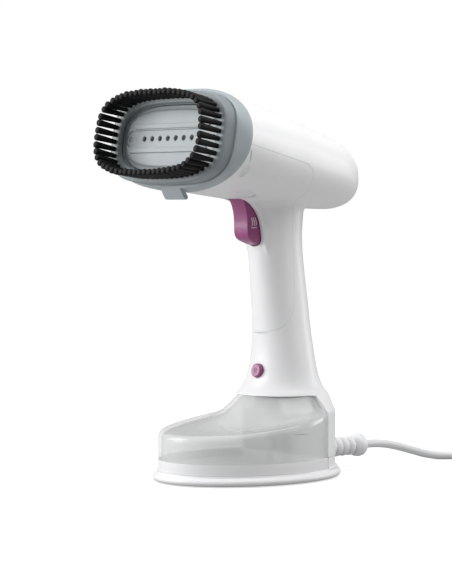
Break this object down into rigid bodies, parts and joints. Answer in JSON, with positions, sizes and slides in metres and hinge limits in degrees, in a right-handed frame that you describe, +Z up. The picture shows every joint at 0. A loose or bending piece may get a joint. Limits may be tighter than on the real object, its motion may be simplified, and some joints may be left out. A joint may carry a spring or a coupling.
{
  "type": "handheld garment steamer",
  "caption": "Handheld upright garment steamer with an oval steam head, a ring of bristle tufts, a trigger and a translucent water tank base.",
  "frame": {"origin": "centre of the oval foot, on the surface it stands on", "axes": "+Z up, -Y out of the steam face, +Y to the cord, +X across the head"},
  "size_m": [0.1665, 0.3781, 0.2678],
  "materials": {
    "white_plastic": "satin moulded plastic",
    "grey_plastic": "satin moulded plastic",
    "bezel_plastic": "satin moulded plastic",
    "sole_coating": "satin ceramic coating on cast aluminium",
    "purple_plastic": "glossy moulded plastic",
    "frosted_plastic": "translucent, lightly frosted",
    "bristle": "nylon bristle tufts",
    "black_plastic": "moulded, with tinned terminals",
    "screw_steel": "zinc plated",
    "spring_steel": "drawn wire",
    "cast_aluminium": "as cast",
    "pump_metal": "plated can",
    "board": "printed circuit board with parts",
    "rubber": "moulded rubber",
    "silicone": "milky silicone tube",
    "lead_sheath": "heat-resistant sleeve",
    "cord_sheath": "smooth PVC sheath",
    "pin_metal": "nickel plated brass"
  },
  "bodies": {
    "base": {"base_foot": "white_plastic", "base_plate": "white_plastic", "rear_shell": "white_plastic", "front_shell": "white_plastic", "switch_bracket": "white_plastic", "pump_bracket": "white_plastic", "cord_clamp": "white_plastic", "strain_relief": "white_plastic", "valve_socket": "grey_plastic", "front_bezel": "bezel_plastic", "soleplate": "sole_coating", "steam_switch": "black_plastic", "thermostat": "black_plastic", "plate_screws": "screw_steel", "spine_screws": "screw_steel", "boiler_screws": "screw_steel", "clamp_screws": "screw_steel", "trigger_pin": "screw_steel", "thermal_fuse": "screw_steel", "heating_element": "screw_steel", "trigger_spring": "spring_steel", "button_spring": "spring_steel", "boiler": "cast_aluminium", "water_pump": "pump_metal", "control_board": "board", "rubber_pad": "rubber", "sole_gasket": "rubber", "valve_seal": "rubber", "suction_hose": "silicone", "delivery_hose": "silicone", "inner_leads": "lead_sheath", "mains_cord": "cord_sheath", "cord_coil": "cord_sheath", "cord_tail": "cord_sheath", "plug_body": "cord_sheath", "plug_pins": "pin_metal"},
    "trigger": {"trigger": "purple_plastic"},
    "power_button": {"power_button": "purple_plastic"},
    "tank": {"tank_shell": "frosted_plastic", "tank_floor": "white_plastic", "fill_cap": "grey_plastic", "tank_valve": "grey_plastic", "pickup_tube": "frosted_plastic"},
    "brush": {"brush_frame": "grey_plastic", "bristle_tufts": "bristle"}
  },
  "joints": [
    {"name": "trigger_pull", "type": "hinge", "parent": "base", "child": "trigger", "pos_m": [0, 0.006, 0.199], "axis": [1, 0, 0], "range_deg": [0, 7], "stiffness_Nm_per_rad": 0.8, "springref_deg": -4.58, "deforming": ["trigger_spring"]},
    {"name": "button_press", "type": "slide", "parent": "base", "child": "power_button", "axis": [0, 0.9829, -0.1839], "range_m": [0, 0.0012], "stiffness_N_per_m": 1200, "springref_m": -0.0004, "deforming": ["button_spring"]},
    {"name": "tank_slide", "type": "slide", "parent": "base", "child": "tank", "axis": [0, -1, 0], "range_m": [0, 0.09]},
    {"name": "brush_slide", "type": "slide", "parent": "base", "child": "brush", "axis": [0, -0.9848, 0.1736], "range_m": [0, 0.04]}
  ]
}
